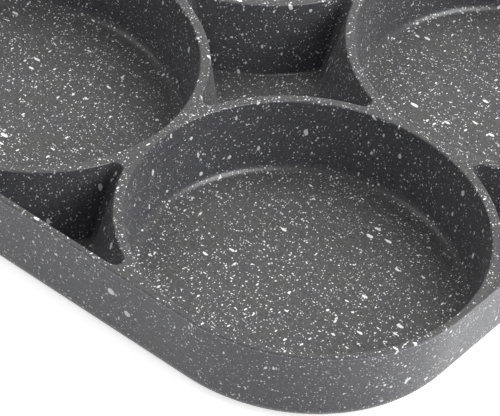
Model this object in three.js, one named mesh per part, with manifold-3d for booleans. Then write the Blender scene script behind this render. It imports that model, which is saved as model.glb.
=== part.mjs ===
// Four-cup pancake pan. A die-cast rounded-square body holds four round cups, with open pockets left
// between them. A perforated steel disc sits flush in the base. The handle is a moulded grip, held on a
// cast lug by one long screw, with a steel sleeve between lug and grip.
// Millimetres, +Z up. The origin is the middle of the base, at the level that the pan stands on.
// +X points away from the handle.
import * as THREE from "three";
import { mergeVertices, toCreasedNormals } from "three/addons/utils/BufferGeometryUtils.js";
import Module from "manifold-3d";

const wasm = await Module();
wasm.setup();
const { degToRad } = THREE.MathUtils;

// Sizes of the cups
const CUP_MOUTH_RADIUS = 44.75;
const CUP_DEPTH = 19.95;
const CUP_DRAFT = degToRad(8);
const CUP_FLOOR_FILLET = 1.65;

// Sizes of the walls, measured at the rim
const WEB = 2.4; // between two neighbouring mouths, where they are closest
const CUP_WALL = 2.6; // between a mouth and a pocket
const CORNER_WALL = 1.85; // between a mouth and the outside
const SIDE_WALL = 1.65; // between a side pocket and the outside
const RIM_ROUNDING = 0.5;

// Sizes of the outside and the base
const BASE_THICKNESS = 4.1;
const OUTER_DRAFT = degToRad(8.1);
const BASE_EDGE_RADIUS = 4.5;
const LIP_FACE = 0.15; // upright part of the lip, below its rounding
const LIP_OVERHANG = 0.25;

// Sizes of the pockets
const POCKET_DRAFT = degToRad(12);
const POCKET_FLOOR_FILLET = 1.1;
const POCKET_TIP_RADIUS = 2.2;
const POCKET_LEAST_TIP = 0.6;

// Sizes of the induction disc
const DISC_MARGIN = 15; // from the disc to the edge of the base's flat
const DISC_THICKNESS = 0.6;
const DISC_HOLE_RADIUS = 2.6;
const DISC_BORDER = 7; // from the outer ring of holes to the disc's edge
const DISC_FIRST_RING = 18;
const DISC_RINGS = 4;

// Sizes of the lug and the sleeve
const HANDLE_RISE = degToRad(10);
const LUG_LENGTH = 16;
const LUG_ROOT_FLARE = 3;
const TENON_CHEEK = 3.7; // metal on each side of the insert
const TENON_ROOF = 1.45; // metal above and below the insert
const TENON_LENGTH = 12;
const GUARD_WALL = 0.8;
const GUARD_LENGTH = 26;
const GUARD_FLARE = 2.9; // how much wider the sleeve is at the grip, on each side
const SHOULDER = 0.6; // step from the sleeve up to the lug and to the grip
const SLEEVE_ROUNDNESS = 0.36; // corner radius of lug and sleeve, as a share of their thickness

// Sizes of the grip
const GRIP_LENGTH = 150;
const GRIP_PALM_SWELL = 3.2; // how far the sides stand out at the palm
const GRIP_WAIST = 1.2; // how far the sides draw in behind the sleeve
const GRIP_END_THICKNESS = 16;
const GRIP_DROOP = 2; // how far the end drops below the line of the sleeve
const GRIP_END_ROUNDING = 14;
const GRIP_FULLNESS = 2.6; // exponent of the section: 2 is an ellipse, more is squarer
const GRIP_UNDERSIDE = 0.92; // depth of the underside as a share of the top's
const HANG_SLOT_LENGTH = 18;
const HANG_SLOT_WIDTH = 11;
const HANG_SLOT_FROM_END = 9;
const SEAT_DEPTH = 20; // of the screw's seat behind the grip's shoulder

// Sizes of the fasteners
const SCREW_DIAMETER = 5;
const SCREW_HEAD_OVERHANG = 2.1;
const SCREW_HEAD_HEIGHT = 3.4;
const INSERT_WALL = 0.7;
const INSERT_LENGTH = 18;
const WASHER_THICKNESS = 1;
const SPRING_WASHER_WIDTH = 1.5;
const SPRING_WASHER_THICKNESS = 1.2;
const SPRING_WASHER_SPLIT = degToRad(14);

const GAP = 0.3; // between fitted pieces
const OVERCUT = 2; // how far a cutter runs past the face that it cuts

// Sizes that follow from those above
const PITCH_HALF = CUP_MOUTH_RADIUS + WEB / 2;
const RIM_Z = BASE_THICKNESS + CUP_DEPTH;
const OUTER_RADIUS = CUP_MOUTH_RADIUS + CORNER_WALL; // outside corner, round a cup's centre
const WALL_TOP_Z = RIM_Z - RIM_ROUNDING - LIP_FACE;
const WALL_TOP_RADIUS = OUTER_RADIUS - LIP_OVERHANG;
const SCREW_HOLE_RADIUS = SCREW_DIAMETER / 2 + GAP;
const SCREW_HEAD_RADIUS = SCREW_DIAMETER / 2 + SCREW_HEAD_OVERHANG;
const INSERT_RADIUS = SCREW_HOLE_RADIUS + INSERT_WALL;
const TENON_WIDTH = 2 * (INSERT_RADIUS + GAP + TENON_CHEEK);
const TENON_THICKNESS = 2 * (INSERT_RADIUS + GAP + TENON_ROOF);
const LUG_HEIGHT = RIM_Z / 2; // of the lug's axis above the base, at the wall
const CUP_FACETS = 56;

const outerWallRadius = (z) => WALL_TOP_RADIUS - (WALL_TOP_Z - z) * Math.tan(OUTER_DRAFT);
const DISC_RADIUS = PITCH_HALF + outerWallRadius(0) - BASE_EDGE_RADIUS - DISC_MARGIN;

// Outlines and profiles

function arc(x, y, radius, from, to, steps) {
  return Array.from({ length: steps + 1 }, (_, i) => {
    const angle = from + ((to - from) * i) / steps;
    return new THREE.Vector2(x + radius * Math.cos(angle), y + radius * Math.sin(angle));
  });
}

// A run of corners [x, y, radius] with each corner that has a radius turned into a tangent arc.
// Points that fall on the one before are dropped.
function rounded(corners) {
  const points = corners.map(([x, y]) => new THREE.Vector2(x, y));
  const run = points.flatMap((corner, i) => {
    const radius = corners[i][2] ?? 0;
    if (radius === 0) return [corner];
    const back = points[i - 1].clone().sub(corner).normalize();
    const ahead = points[i + 1].clone().sub(corner).normalize();
    const half = Math.acos(back.dot(ahead)) / 2;
    const toCentre = back.clone().add(ahead).setLength(radius / Math.sin(half));
    const centre = corner.clone().add(toCentre);
    const reach = radius / Math.tan(half);
    const start = corner.clone().addScaledVector(back, reach).sub(centre).angle();
    const end = corner.clone().addScaledVector(ahead, reach).sub(centre).angle();
    const turn = THREE.MathUtils.euclideanModulo(end - start + Math.PI, 2 * Math.PI) - Math.PI;
    return arc(centre.x, centre.y, radius, start, start + turn, radius < 1 ? 2 : 3);
  });
  return run.filter((p, i) => i === 0 || p.distanceTo(run[i - 1]) > 1e-6);
}

// How far a rounding between a drafted wall and the level rim reaches along the rim.
const rimReach = (draft) => RIM_ROUNDING * Math.tan((Math.PI / 2 - draft) / 2);

function quarterTurns(points) {
  const pivot = new THREE.Vector2();
  const turns = [0, Math.PI / 2, Math.PI, (3 * Math.PI) / 2];
  return turns.flatMap((turn) => points.map((p) => p.clone().rotateAround(pivot, turn)));
}

function roundedSquare(cornerRadius) {
  return quarterTurns(arc(PITCH_HALF, PITCH_HALF, cornerRadius, 0, Math.PI / 2, CUP_FACETS / 4));
}

const cupWallRadius = (inset) => CUP_MOUTH_RADIUS + CUP_WALL + inset;
const tipRadius = (inset) => Math.max(POCKET_TIP_RADIUS - inset, POCKET_LEAST_TIP);

// Distance from the line between two cups' centres to the centre of the tip that touches both.
const tipOffset = (inset) => Math.sqrt((cupWallRadius(inset) + tipRadius(inset)) ** 2 - PITCH_HALF ** 2);

function middlePocket(inset) {
  const across = tipOffset(inset);
  const tipCentre = PITCH_HALF - across;
  const opening = Math.atan2(PITCH_HALF, across);
  const tip = arc(tipCentre, 0, tipRadius(inset), -opening, opening, 6);
  const from = opening - Math.PI;
  const to = -opening - Math.PI / 2;
  const wall = arc(PITCH_HALF, PITCH_HALF, cupWallRadius(inset), from, to, 12);
  return quarterTurns([...tip, ...wall.slice(1, -1)]);
}

// The pocket on the -Y side, between two cups and the outer wall.
function sidePocket(inset) {
  const tip = tipRadius(inset);
  const cup = cupWallRadius(inset);
  const innerTipY = -PITCH_HALF - tipOffset(inset);
  const innerAngle = Math.atan2(tipOffset(inset), PITCH_HALF);
  const outerTipY = -(PITCH_HALF + OUTER_RADIUS - SIDE_WALL - inset) + tip;
  const outerAngle = Math.asin((-PITCH_HALF - outerTipY) / (cup + tip));
  const outerTipX = PITCH_HALF - (cup + tip) * Math.cos(outerAngle);
  const outerTip = arc(outerTipX, outerTipY, tip, -Math.PI / 2, outerAngle, 5);
  const wall = arc(PITCH_HALF, -PITCH_HALF, cup, Math.PI + outerAngle, Math.PI + innerAngle, 9);
  const innerTip = arc(0, innerTipY, tip, innerAngle, Math.PI / 2, 3);
  const right = [...outerTip, ...wall.slice(1, -1), ...innerTip];
  const left = right.slice(0, -1).reverse();
  return [...right, ...left.map((p) => new THREE.Vector2(-p.x, p.y))];
}

function roundedRectangle(width, thickness, steps = 4) {
  const radius = Math.min(width, thickness) * SLEEVE_ROUNDNESS;
  const x = width / 2 - radius;
  const y = thickness / 2 - radius;
  const right = Math.PI / 2;
  return [
    ...arc(x, y, radius, 0, right, steps),
    ...arc(-x, y, radius, right, 2 * right, steps),
    ...arc(-x, -y, radius, 2 * right, 3 * right, steps),
    ...arc(x, -y, radius, 3 * right, 4 * right, steps),
  ];
}

// Solids

// A solid through outlines of equal length, each [outline, z], from the lowest to the highest.
function loft(sections) {
  const count = sections[0][0].length;
  const positions = sections.flatMap(([outline, z]) => outline.flatMap((p) => [p.x, p.y, z]));
  const index = [];
  for (let k = 0; k + 1 < sections.length; k += 1) {
    for (let i = 0; i < count; i += 1) {
      const low = k * count;
      const high = low + count;
      const next = (i + 1) % count;
      index.push(low + i, low + next, high + next, low + i, high + next, high + i);
    }
  }
  const last = (sections.length - 1) * count;
  for (const [a, b, c] of THREE.ShapeUtils.triangulateShape(sections[0][0], [])) index.push(c, b, a);
  for (const [a, b, c] of THREE.ShapeUtils.triangulateShape(sections.at(-1)[0], [])) {
    index.push(last + a, last + b, last + c);
  }
  const geometry = new THREE.BufferGeometry();
  geometry.setAttribute("position", new THREE.Float32BufferAttribute(positions, 3));
  geometry.setIndex(index);
  return geometry;
}

// A solid of revolution about Z from a profile of [radius, z], lowest point first.
function turned(profile, steps) {
  return new THREE.LatheGeometry(profile, steps).rotateX(Math.PI / 2);
}

function cylinder(radius, bottom, top, steps) {
  const corners = [[0, bottom], [radius, bottom], [radius, top], [0, top]];
  return turned(rounded(corners), steps);
}

function solid(geometry) {
  const bare = geometry.clone();
  bare.deleteAttribute("normal");
  bare.deleteAttribute("uv");
  const welded = mergeVertices(bare, 1e-4);
  return new wasm.Manifold(
    new wasm.Mesh({
      numProp: 3,
      vertProperties: new Float32Array(welded.attributes.position.array),
      triVerts: new Uint32Array(welded.index.array),
    }),
  );
}

function geometryOf(manifold) {
  const mesh = manifold.getMesh();
  const geometry = new THREE.BufferGeometry();
  geometry.setAttribute("position", new THREE.BufferAttribute(mesh.vertProperties, 3));
  geometry.setIndex(new THREE.BufferAttribute(mesh.triVerts, 1));
  return geometry;
}

const cut = (body, ...cutters) => cutters.reduce((left, cutter) => left.subtract(solid(cutter)), body);

// The handle's own frame: Z runs from the wall along the lug's axis, Y is up and X is across.
const handleFrame = new THREE.Matrix4().makeBasis(
  new THREE.Vector3(0, -1, 0),
  new THREE.Vector3(Math.sin(HANDLE_RISE), 0, Math.cos(HANDLE_RISE)),
  new THREE.Vector3(-Math.cos(HANDLE_RISE), 0, Math.sin(HANDLE_RISE)),
);
handleFrame.setPosition(-PITCH_HALF - outerWallRadius(LUG_HEIGHT), 0, LUG_HEIGHT);

// Sections of the handle, from the lug to the grip
const guardInside = (z) => {
  const spread = (2 * GUARD_FLARE * z) / GUARD_LENGTH + 2 * GAP;
  return { width: TENON_WIDTH + spread, thickness: TENON_THICKNESS + spread };
};
const guardSection = (z, grow) => {
  const { width, thickness } = guardInside(z);
  return roundedRectangle(width + 2 * grow, thickness + 2 * grow);
};
const SHOULDER_Z = LUG_LENGTH;
const TENON_END_Z = SHOULDER_Z + TENON_LENGTH;
const GUARD_START_Z = SHOULDER_Z + GAP;
const GUARD_END_Z = GUARD_START_Z + GUARD_LENGTH;
const GRIP_START_Z = GUARD_END_Z + GAP;
const SEAT_Z = GRIP_START_Z + SEAT_DEPTH;

// Pan body

function outerBlank() {
  const profile = rounded([
    [0, 0],
    [outerWallRadius(0), 0, BASE_EDGE_RADIUS],
    [WALL_TOP_RADIUS, WALL_TOP_Z],
    [OUTER_RADIUS, WALL_TOP_Z],
    [OUTER_RADIUS, RIM_Z, RIM_ROUNDING],
    [0, RIM_Z],
  ]);
  return loft(profile.slice(1, -1).map((p) => [roundedSquare(p.x), p.y]));
}

function lug() {
  const shoulder = GUARD_WALL + SHOULDER + GAP;
  const width = TENON_WIDTH + 2 * shoulder;
  const thickness = TENON_THICKNESS + 2 * shoulder;
  const flare = rounded([
    [2 * LUG_ROOT_FLARE, 0],
    [0, 0, LUG_ROOT_FLARE],
    [0, SHOULDER_Z],
  ]);
  const sunk = -2 * SIDE_WALL;
  const root = [roundedRectangle(width + 2 * LUG_ROOT_FLARE, thickness + LUG_ROOT_FLARE), sunk];
  const sections = flare.slice(1).map(({ x, y }) => [roundedRectangle(width + 2 * x, thickness + x), y]);
  const tenon = roundedRectangle(TENON_WIDTH, TENON_THICKNESS);
  return loft([root, ...sections, [tenon, SHOULDER_Z], [tenon, TENON_END_Z]]).applyMatrix4(handleFrame);
}

function cupCutter() {
  const floorRadius = CUP_MOUTH_RADIUS - CUP_DEPTH * Math.tan(CUP_DRAFT);
  const mouth = CUP_MOUTH_RADIUS + rimReach(CUP_DRAFT);
  const profile = rounded([
    [0, BASE_THICKNESS],
    [floorRadius, BASE_THICKNESS, CUP_FLOOR_FILLET],
    [CUP_MOUTH_RADIUS, RIM_Z, RIM_ROUNDING],
    [mouth, RIM_Z],
    [mouth, RIM_Z + OVERCUT],
    [0, RIM_Z + OVERCUT],
  ]);
  return turned(profile, CUP_FACETS);
}

function pocketCutter(outline) {
  const foot = CUP_DEPTH * Math.tan(POCKET_DRAFT);
  const mouth = -rimReach(POCKET_DRAFT);
  const profile = rounded([
    [foot + 2 * POCKET_FLOOR_FILLET, BASE_THICKNESS],
    [foot, BASE_THICKNESS, POCKET_FLOOR_FILLET],
    [0, RIM_Z, RIM_ROUNDING],
    [mouth, RIM_Z],
    [mouth, RIM_Z + OVERCUT],
  ]);
  return loft(profile.slice(1).map((p) => [outline(p.x), p.y]));
}

function panBody() {
  const cups = [-1, 1].flatMap((x) =>
    [-1, 1].map((y) => cupCutter().translate(x * PITCH_HALF, y * PITCH_HALF, 0)),
  );
  const sides = [0, 1, 2, 3].map((turn) => pocketCutter(sidePocket).rotateZ((turn * Math.PI) / 2));
  const recess = cylinder(DISC_RADIUS + GAP, -OVERCUT, DISC_THICKNESS, CUP_FACETS);
  const boreEnd = TENON_END_Z - INSERT_LENGTH - GAP;
  const bore = cylinder(INSERT_RADIUS + GAP, boreEnd, TENON_END_Z + OVERCUT, 24).applyMatrix4(handleFrame);
  const blank = solid(outerBlank()).add(solid(lug()));
  return geometryOf(cut(blank, ...cups, pocketCutter(middlePocket), ...sides, recess, bore));
}

// Induction disc

function inductionDisc() {
  const disc = solid(cylinder(DISC_RADIUS, 0, DISC_THICKNESS, CUP_FACETS));
  const ringStep = (DISC_RADIUS - DISC_BORDER - DISC_FIRST_RING) / (DISC_RINGS - 1);
  const holes = Array.from({ length: DISC_RINGS }, (_, ring) => ring).flatMap((ring) => {
    const count = 6 * (ring + 1);
    const radius = DISC_FIRST_RING + ring * ringStep;
    return Array.from({ length: count }, (__, i) => {
      const angle = (2 * Math.PI * i) / count;
      const hole = cylinder(DISC_HOLE_RADIUS, -OVERCUT, DISC_THICKNESS + OVERCUT, 8);
      return hole.translate(radius * Math.cos(angle), radius * Math.sin(angle), 0);
    });
  });
  return geometryOf(cut(disc, ...holes));
}

// Handle pieces, in the handle's frame

// A round ring about the handle's axis.
function ring(inside, outside, bottom, top) {
  const profile = [[inside, bottom], [outside, bottom], [outside, top], [inside, top], [inside, bottom]];
  return turned(rounded(profile), 24);
}

function lugInsert() {
  return ring(SCREW_HOLE_RADIUS, INSERT_RADIUS, TENON_END_Z - INSERT_LENGTH, TENON_END_Z);
}

function flameGuard() {
  const shell = (grow, overrun) =>
    loft([
      [guardSection(-overrun, grow), GUARD_START_Z - overrun],
      [guardSection(GUARD_LENGTH + overrun, grow), GUARD_END_Z + overrun],
    ]);
  return geometryOf(cut(solid(shell(GUARD_WALL, 0)), shell(0, OVERCUT)));
}

// Half width, half thickness and centre line of the grip at its start, at each third and at its end.
function gripShape() {
  const start = guardInside(GUARD_LENGTH);
  const halfWidth = start.width / 2 + GUARD_WALL + SHOULDER;
  const halfThickness = start.thickness / 2 + GUARD_WALL + SHOULDER;
  const palm = halfWidth + GRIP_PALM_SWELL;
  const through = (...values) => new THREE.SplineCurve(values.map((value, i) => new THREE.Vector2(i, value)));
  return {
    width: through(halfWidth, halfWidth - GRIP_WAIST, palm, (palm + halfWidth) / 2),
    thickness: through(halfThickness, halfThickness - GRIP_WAIST / 2, halfThickness, GRIP_END_THICKNESS / 2),
    centre: through(0, 0, -GRIP_DROOP / 3, -GRIP_DROOP),
  };
}

// A rounded section whose underside is flatter than its top.
function gripSection(halfWidth, halfThickness, centre) {
  const power = 2 / GRIP_FULLNESS;
  const count = 32;
  return Array.from({ length: count }, (_, i) => {
    const angle = (2 * Math.PI * i) / count;
    const across = Math.sign(Math.cos(angle)) * Math.abs(Math.cos(angle)) ** power;
    const up = Math.sign(Math.sin(angle)) * Math.abs(Math.sin(angle)) ** power;
    const depth = up < 0 ? halfThickness * GRIP_UNDERSIDE : halfThickness;
    return new THREE.Vector2(halfWidth * across, centre + depth * up);
  });
}

function gripBlank() {
  const shape = gripShape();
  const steps = 16;
  const endSteps = 5;
  const body = Array.from({ length: steps + 1 }, (_, i) => [i / steps, 1]);
  const roundingStart = 1 - GRIP_END_ROUNDING / GRIP_LENGTH;
  const ending = Array.from({ length: endSteps }, (_, i) => {
    const angle = ((i + 1) / endSteps) * degToRad(80);
    return [roundingStart + (1 - roundingStart) * Math.sin(angle), Math.cos(angle) ** 0.7];
  });
  const stations = [...body.filter(([t]) => t < roundingStart - 0.01), [roundingStart, 1], ...ending];
  return loft(
    stations.map(([t, scale]) => {
      const halfWidth = shape.width.getPoint(t).y * scale;
      const halfThickness = shape.thickness.getPoint(t).y * scale;
      const centre = shape.centre.getPoint(t).y;
      return [gripSection(halfWidth, halfThickness, centre), GRIP_START_Z + t * GRIP_LENGTH];
    }),
  );
}

function spigot() {
  const front = TENON_END_Z + GAP;
  return loft([
    [guardSection(front - GUARD_START_Z, -GAP), front],
    [guardSection(GUARD_LENGTH, -GAP), GUARD_END_Z],
    [guardSection(GUARD_LENGTH, -GAP), GRIP_START_Z + OVERCUT],
  ]);
}

function hangSlot(middle) {
  const radius = HANG_SLOT_WIDTH / 2;
  const half = HANG_SLOT_LENGTH / 2 - radius;
  const right = Math.PI / 2;
  const outline = [
    ...arc(half, 0, radius, -right, right, 10),
    ...arc(-half, 0, radius, right, 3 * right, 10),
  ];
  const reach = GRIP_DROOP + GRIP_END_THICKNESS + OVERCUT;
  const slot = loft([[outline, -reach], [outline, reach]]);
  return slot.rotateY(-right).rotateZ(right).translate(0, 0, middle);
}

function handleGrip() {
  const slotMiddle = GRIP_START_Z + GRIP_LENGTH - HANG_SLOT_FROM_END - HANG_SLOT_LENGTH / 2;
  const hole = cylinder(SCREW_HOLE_RADIUS, TENON_END_Z - OVERCUT, SEAT_Z + OVERCUT, 24);
  const access = cylinder(SCREW_HEAD_RADIUS + GAP, SEAT_Z, slotMiddle, 24);
  const blank = solid(gripBlank()).add(solid(spigot()));
  return geometryOf(cut(blank, hole, access, hangSlot(slotMiddle)));
}

const WASHER_Z = SEAT_Z + GAP;
const SPRING_WASHER_Z = WASHER_Z + WASHER_THICKNESS + GAP;
const SCREW_HEAD_Z = SPRING_WASHER_Z + SPRING_WASHER_THICKNESS + GAP;

function flatWasher() {
  return ring(SCREW_HOLE_RADIUS, SCREW_HEAD_RADIUS, WASHER_Z, WASHER_Z + WASHER_THICKNESS);
}

function springWasher() {
  const from = SPRING_WASHER_SPLIT / 2;
  const to = 2 * Math.PI - SPRING_WASHER_SPLIT / 2;
  const outline = [
    ...arc(0, 0, SCREW_HOLE_RADIUS + SPRING_WASHER_WIDTH, from, to, 24),
    ...arc(0, 0, SCREW_HOLE_RADIUS, to, from, 24),
  ];
  return loft([[outline, SPRING_WASHER_Z], [outline, SPRING_WASHER_Z + SPRING_WASHER_THICKNESS]]);
}

function handleScrew() {
  const shank = SCREW_DIAMETER / 2;
  const tip = TENON_END_Z - INSERT_LENGTH + GAP;
  const chamfer = shank / 4;
  const top = SCREW_HEAD_Z + SCREW_HEAD_HEIGHT;
  const profile = rounded([
    [0, tip],
    [shank - chamfer, tip],
    [shank, tip + chamfer],
    [shank, SCREW_HEAD_Z],
    [SCREW_HEAD_RADIUS, SCREW_HEAD_Z],
    [SCREW_HEAD_RADIUS, top, SCREW_HEAD_HEIGHT / 2],
    [0, top],
  ]);
  const screw = solid(turned(profile, 24));
  const slotDepth = SCREW_HEAD_HEIGHT / 2;
  const blades = [0, Math.PI / 2].map((turn) => {
    const length = SCREW_HEAD_RADIUS;
    const width = SCREW_HEAD_RADIUS / 4;
    const outline = [
      new THREE.Vector2(-length / 2, -width / 2),
      new THREE.Vector2(length / 2, -width / 2),
      new THREE.Vector2(length / 2, width / 2),
      new THREE.Vector2(-length / 2, width / 2),
    ];
    return loft([[outline, top - slotDepth], [outline, top + OVERCUT]]).rotateZ(turn);
  });
  return geometryOf(cut(screw, ...blades));
}

// Finishes

function finish(color, roughness, metalness) {
  return new THREE.MeshStandardMaterial({ color, roughness, metalness });
}
const coat = finish(0x58585c, 0.55, 0.1);
const steel = finish(0xb9bbbd, 0.35, 1);
const zincPlate = finish(0xa9adb2, 0.3, 1);
const woodEffect = finish(0x9a6a43, 0.5, 0);

// Assembly

function piece(name, geometry, material) {
  const mesh = new THREE.Mesh(toCreasedNormals(geometry, degToRad(30)), material);
  mesh.name = name;
  return mesh;
}

const pan = new THREE.Group();
pan.name = "pancake_pan";
pan.add(piece("pan_body", panBody(), coat));
pan.add(piece("induction_disc", inductionDisc(), steel));

const handle = new THREE.Group();
handle.name = "handle";
handle.applyMatrix4(handleFrame);
handle.add(piece("lug_insert", lugInsert(), zincPlate));
handle.add(piece("flame_guard", flameGuard(), steel));
handle.add(piece("handle_grip", handleGrip(), woodEffect));
handle.add(piece("handle_screw", handleScrew(), zincPlate));
handle.add(piece("spring_washer", springWasher(), zincPlate));
handle.add(piece("flat_washer", flatWasher(), zincPlate));
pan.add(handle);

export default pan;
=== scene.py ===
"""Looks of a four-cup pancake pan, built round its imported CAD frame.

Shapes are worked out in millimetres and turned into metres when a mesh is finished. +Z is up, the
origin is the middle of the base and +X points away from the handle.
"""
import math

import bmesh
import bpy
from mathutils import Matrix, Vector


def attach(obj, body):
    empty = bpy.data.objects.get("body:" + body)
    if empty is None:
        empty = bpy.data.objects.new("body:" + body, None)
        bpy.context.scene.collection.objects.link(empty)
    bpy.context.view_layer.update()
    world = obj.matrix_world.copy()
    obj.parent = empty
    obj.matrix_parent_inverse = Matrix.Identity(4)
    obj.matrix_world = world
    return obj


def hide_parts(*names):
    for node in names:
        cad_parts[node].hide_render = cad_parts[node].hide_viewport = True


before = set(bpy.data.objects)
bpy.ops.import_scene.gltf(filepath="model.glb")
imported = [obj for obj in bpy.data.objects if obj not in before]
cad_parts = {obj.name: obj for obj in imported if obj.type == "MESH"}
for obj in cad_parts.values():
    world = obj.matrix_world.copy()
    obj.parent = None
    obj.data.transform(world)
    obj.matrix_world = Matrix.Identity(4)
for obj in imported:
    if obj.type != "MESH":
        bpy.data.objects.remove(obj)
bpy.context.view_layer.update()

MM = 0.001
QUARTER = math.pi / 2

# Sizes of the cups
CUP_MOUTH_RADIUS = 44.75
CUP_DEPTH = 19.95
CUP_DRAFT = math.radians(8)
CUP_FLOOR_FILLET = 3.0  # wider than the solid's, to match the broad highlight in the photograph

# Sizes of the walls, measured at the rim
WEB = 2.4
CUP_WALL = 2.6
CORNER_WALL = 1.85
SIDE_WALL = 1.65
RIM_ROUNDING = 0.5
RIM_STRIP = 0.12  # level strip beside each rounding, which keeps the rim's shading level

# Sizes of the outside and the base
BASE_THICKNESS = 4.1
OUTER_DRAFT = math.radians(8.1)
BASE_EDGE_RADIUS = 4.5
LIP_FACE = 0.15
LIP_OVERHANG = 0.25
LIP_EDGE_ROUNDING = 0.1
LIP_TOP_ROUNDING = 0.12
LIP_STEP = 0.14  # the lip's stand-out from the wall, slight as in the photograph
LIP_SLOPE = 0.5
LIP_FOOT_ROUNDING = 0.4

# Sizes of the pockets
POCKET_DRAFT = math.radians(12)
POCKET_FLOOR_FILLET = 1.1
POCKET_TIP_RADIUS = 2.2
POCKET_LEAST_TIP = 0.6

# Sizes of the induction disc
DISC_MARGIN = 15
DISC_THICKNESS = 0.6
DISC_EDGE_ROUNDING = 0.12
DISC_HOLE_RADIUS = 2.6
DISC_BORDER = 7
DISC_FIRST_RING = 18
DISC_RINGS = 4
DISC_RING_HOLES = 6  # holes in the first ring, and how many more each ring has than the one inside it
PLUG_CLEARANCE = 0.05

# Sizes of the lug and the sleeve
HANDLE_RISE = math.radians(10)
LUG_LENGTH = 16
LUG_ROOT_FLARE = 3
LUG_FLARE_ABOVE = 0.5  # share of the flare that the lug's top and underside have
LUG_FLARE_BELOW = 0.15
LUG_EDGE_ROUNDING = 1
TENON_CHEEK = 3.7
TENON_ROOF = 1.45
TENON_LENGTH = 12
GUARD_WALL = 0.8
GUARD_LENGTH = 26
GUARD_FLARE = 2.9
GUARD_EDGE_ROUNDING = 0.3
SHOULDER = 0.6
SLEEVE_ROUNDNESS = 0.36

# Sizes of the grip
GRIP_LENGTH = 150
GRIP_PALM_SWELL = 3.2
GRIP_WAIST = 1.2
GRIP_END_THICKNESS = 16
GRIP_DROOP = 2
GRIP_END_ROUNDING = 14
GRIP_END_TURN = math.radians(87)  # angle at which the end's rounding stops
GRIP_END_REACH = math.sin(math.radians(80))  # share of the rounding's length that the end takes up
GRIP_END_BLUNTNESS = 0.7  # a power below 1 makes the end blunter than an ellipse
GRIP_FULLNESS = 2.6
GRIP_UNDERSIDE = 0.92
GRIP_SKIN = 0.06  # how far the smooth grip stays inside its frame solid
GRIP_SHOULDER_ROUNDING = 1.6
HANG_SLOT_LENGTH = 18
HANG_SLOT_WIDTH = 11
HANG_SLOT_FROM_END = 9
HANG_SLOT_ROUNDING = 1.4
HANG_SLOT_MOUTH_ANGLE = math.radians(8)  # angle between the grip's skin and the start of the rounding
HANG_SLOT_OVERRUN = 0.05  # how far the cutter's mouth stands off the grip's skin
SEAT_DEPTH = 20

# Sizes of the fasteners
SCREW_DIAMETER = 5
SCREW_HEAD_OVERHANG = 2.1
INSERT_WALL = 0.7
INSERT_LENGTH = 18
GAP = 0.3

# Fineness of the meshes
CUP_POINTS = 128
CORNER_STEPS = 32
TIP_STEPS = 14
POCKET_WALL_STEPS = 32
FILLET_STEPS = 8
EDGE_STEPS = 5
PLUG_EDGE_STEPS = 2
GRIP_BODY_STEPS = 64
GRIP_END_STEPS = 16
SECTION_POINTS = 96
HOLE_POINTS = 24
SHARP = math.radians(38)  # edges that turn more than this stay crisp

# Sizes that follow from those above
PITCH_HALF = CUP_MOUTH_RADIUS + WEB / 2
RIM_Z = BASE_THICKNESS + CUP_DEPTH
OUTER_RADIUS = CUP_MOUTH_RADIUS + CORNER_WALL
WALL_TOP_Z = RIM_Z - RIM_ROUNDING - LIP_FACE
WALL_TOP_RADIUS = OUTER_RADIUS - LIP_OVERHANG
SCREW_HOLE_RADIUS = SCREW_DIAMETER / 2 + GAP
SCREW_HEAD_RADIUS = SCREW_DIAMETER / 2 + SCREW_HEAD_OVERHANG
INSERT_RADIUS = SCREW_HOLE_RADIUS + INSERT_WALL
TENON_WIDTH = 2 * (INSERT_RADIUS + GAP + TENON_CHEEK)
TENON_THICKNESS = 2 * (INSERT_RADIUS + GAP + TENON_ROOF)
LUG_HEIGHT = RIM_Z / 2
LUG_SHOULDER = GUARD_WALL + SHOULDER + GAP  # how far the lug stands out round its tenon
TENON_END = LUG_LENGTH + TENON_LENGTH
GUARD_START = LUG_LENGTH + GAP
GUARD_END = GUARD_START + GUARD_LENGTH
GRIP_START = GUARD_END + GAP
SEAT = GRIP_START + SEAT_DEPTH
SLOT_MIDDLE = GRIP_START + GRIP_LENGTH - HANG_SLOT_FROM_END - HANG_SLOT_LENGTH / 2
SECTION_ANGLES = [2 * math.pi * i / SECTION_POINTS for i in range(SECTION_POINTS)]


def outer_wall_radius(z):
    return WALL_TOP_RADIUS - (WALL_TOP_Z - z) * math.tan(OUTER_DRAFT)


DISC_RADIUS = PITCH_HALF + outer_wall_radius(0) - BASE_EDGE_RADIUS - DISC_MARGIN

# The handle's own frame: Z runs from the wall along the lug's axis, Y is up and X is across
HANDLE = Matrix((
    (0, math.sin(HANDLE_RISE), -math.cos(HANDLE_RISE), -PITCH_HALF - outer_wall_radius(LUG_HEIGHT)),
    (-1, 0, 0, 0),
    (0, math.cos(HANDLE_RISE), math.sin(HANDLE_RISE), LUG_HEIGHT),
    (0, 0, 0, 1),
))


# Outlines and profiles

def arc(x, y, radius, start, end, steps):
    angles = [start + (end - start) * i / steps for i in range(steps + 1)]
    return [Vector((x + radius * math.cos(a), y + radius * math.sin(a))) for a in angles]


def rounded(corners, steps):
    """A run of corners (x, y) or (x, y, radius), with each radius turned into a tangent arc."""
    points = [Vector(corner[:2]) for corner in corners]
    run = []
    for i, corner in enumerate(corners):
        if len(corner) == 2:
            run.append(points[i])
            continue
        radius = corner[2]
        back = (points[i - 1] - points[i]).normalized()
        ahead = (points[(i + 1) % len(points)] - points[i]).normalized()
        half = back.angle(ahead) / 2
        centre = points[i] + (back + ahead).normalized() * radius / math.sin(half)
        spokes = [points[i] + side * radius / math.tan(half) - centre for side in (back, ahead)]
        start, end = [math.atan2(spoke.y, spoke.x) for spoke in spokes]
        turn = (end - start + math.pi) % (2 * math.pi) - math.pi
        run += arc(centre.x, centre.y, radius, start, start + turn, steps)
    return run


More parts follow.
